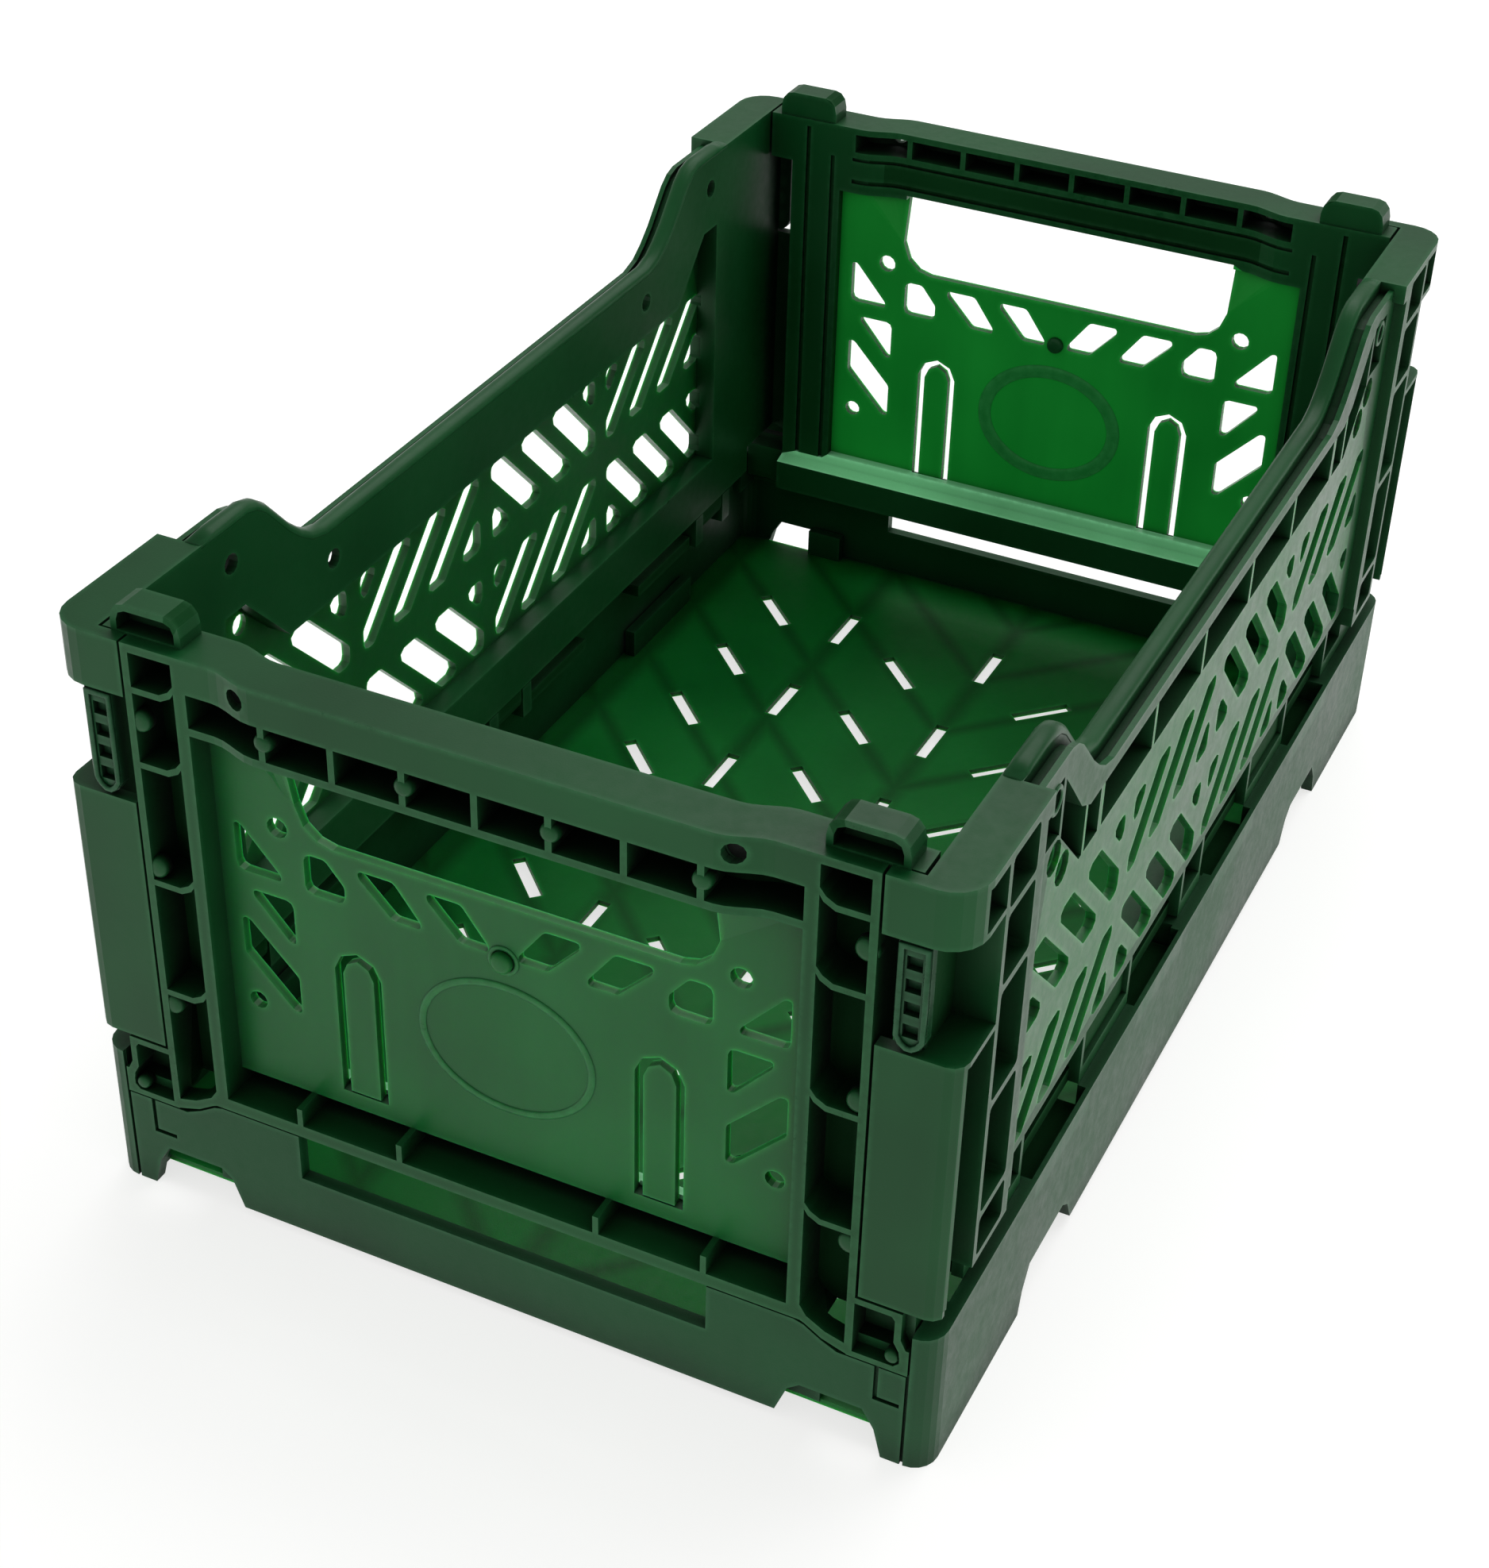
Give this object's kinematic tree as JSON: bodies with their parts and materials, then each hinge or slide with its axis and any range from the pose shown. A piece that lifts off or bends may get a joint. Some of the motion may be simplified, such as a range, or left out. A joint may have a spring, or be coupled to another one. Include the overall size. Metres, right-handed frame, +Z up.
{
  "type": "collapsible storage crate",
  "caption": "Small dark green folding plastic crate with perforated walls, end walls that fold inward over a slotted tray, hand slots, corner latch tongues and stacking lugs.",
  "frame": {"origin": "centre of the bounding box's bottom face, on the ground", "axes": "+X across the width, +Y along the length, +Z up; the two end walls with hand slots face -Y and +Y"},
  "size_m": [0.164, 0.2708, 0.1254],
  "materials": {
    "green_moulding": "satin injection-moulded polypropylene",
    "green_clips": "satin injection-moulded polypropylene"
  },
  "bodies": {
    "crate_body": {"base_tray": "green_moulding", "left_long_wall": "green_moulding", "right_long_wall": "green_moulding", "left_wall_front_pin": "green_clips", "left_wall_middle_pin": "green_clips", "left_wall_back_pin": "green_clips", "right_wall_front_pin": "green_clips", "right_wall_middle_pin": "green_clips", "right_wall_back_pin": "green_clips"},
    "front_wall": {"front_end_wall": "green_moulding", "front_left_hinge_pin": "green_clips", "front_right_hinge_pin": "green_clips"},
    "back_wall": {"back_end_wall": "green_moulding", "back_left_hinge_pin": "green_clips", "back_right_hinge_pin": "green_clips"},
    "front_left_latch": {"front_left_latch_tongue": "green_clips"},
    "front_right_latch": {"front_right_latch_tongue": "green_clips"},
    "back_left_latch": {"back_left_latch_tongue": "green_clips"},
    "back_right_latch": {"back_right_latch_tongue": "green_clips"},
    "front_left_tab": {"front_left_spring_tab": "green_clips"},
    "front_right_tab": {"front_right_spring_tab": "green_clips"},
    "back_left_tab": {"back_left_spring_tab": "green_clips"},
    "back_right_tab": {"back_right_spring_tab": "green_clips"}
  },
  "joints": [
    {"name": "front_wall_fold", "type": "hinge", "parent": "crate_body", "child": "front_wall", "pos_m": [0, -0.128, 0.0255], "axis": [-1, 0, 0], "range_deg": [0, 90]},
    {"name": "back_wall_fold", "type": "hinge", "parent": "crate_body", "child": "back_wall", "pos_m": [0, 0.128, 0.0255], "axis": [1, 0, 0], "range_deg": [0, 90]},
    {"name": "front_left_latch_flex", "type": "hinge", "parent": "crate_body", "child": "front_left_latch", "pos_m": [-0.0729, -0.13165, 0.1087], "axis": [0, 1, 0], "range_deg": [-4, 4], "stiffness_Nm_per_rad": 0.05},
    {"name": "front_right_latch_flex", "type": "hinge", "parent": "crate_body", "child": "front_right_latch", "pos_m": [0.0729, -0.13165, 0.1087], "axis": [0, 1, 0], "range_deg": [-4, 4], "stiffness_Nm_per_rad": 0.05},
    {"name": "back_left_latch_flex", "type": "hinge", "parent": "crate_body", "child": "back_left_latch", "pos_m": [-0.0729, 0.13165, 0.1087], "axis": [0, 1, 0], "range_deg": [-4, 4], "stiffness_Nm_per_rad": 0.05},
    {"name": "back_right_latch_flex", "type": "hinge", "parent": "crate_body", "child": "back_right_latch", "pos_m": [0.0729, 0.13165, 0.1087], "axis": [0, 1, 0], "range_deg": [-4, 4], "stiffness_Nm_per_rad": 0.05},
    {"name": "front_left_tab_flex", "type": "hinge", "parent": "front_wall", "child": "front_left_tab", "pos_m": [-0.0287, -0.1271, 0.0353], "axis": [1, 0, 0], "range_deg": [-3, 3], "stiffness_Nm_per_rad": 0.05},
    {"name": "front_right_tab_flex", "type": "hinge", "parent": "front_wall", "child": "front_right_tab", "pos_m": [0.0287, -0.1271, 0.0353], "axis": [1, 0, 0], "range_deg": [-3, 3], "stiffness_Nm_per_rad": 0.05},
    {"name": "back_left_tab_flex", "type": "hinge", "parent": "back_wall", "child": "back_left_tab", "pos_m": [-0.0287, 0.1271, 0.0353], "axis": [1, 0, 0], "range_deg": [-3, 3], "stiffness_Nm_per_rad": 0.05},
    {"name": "back_right_tab_flex", "type": "hinge", "parent": "back_wall", "child": "back_right_tab", "pos_m": [0.0287, 0.1271, 0.0353], "axis": [1, 0, 0], "range_deg": [-3, 3], "stiffness_Nm_per_rad": 0.05}
  ]
}
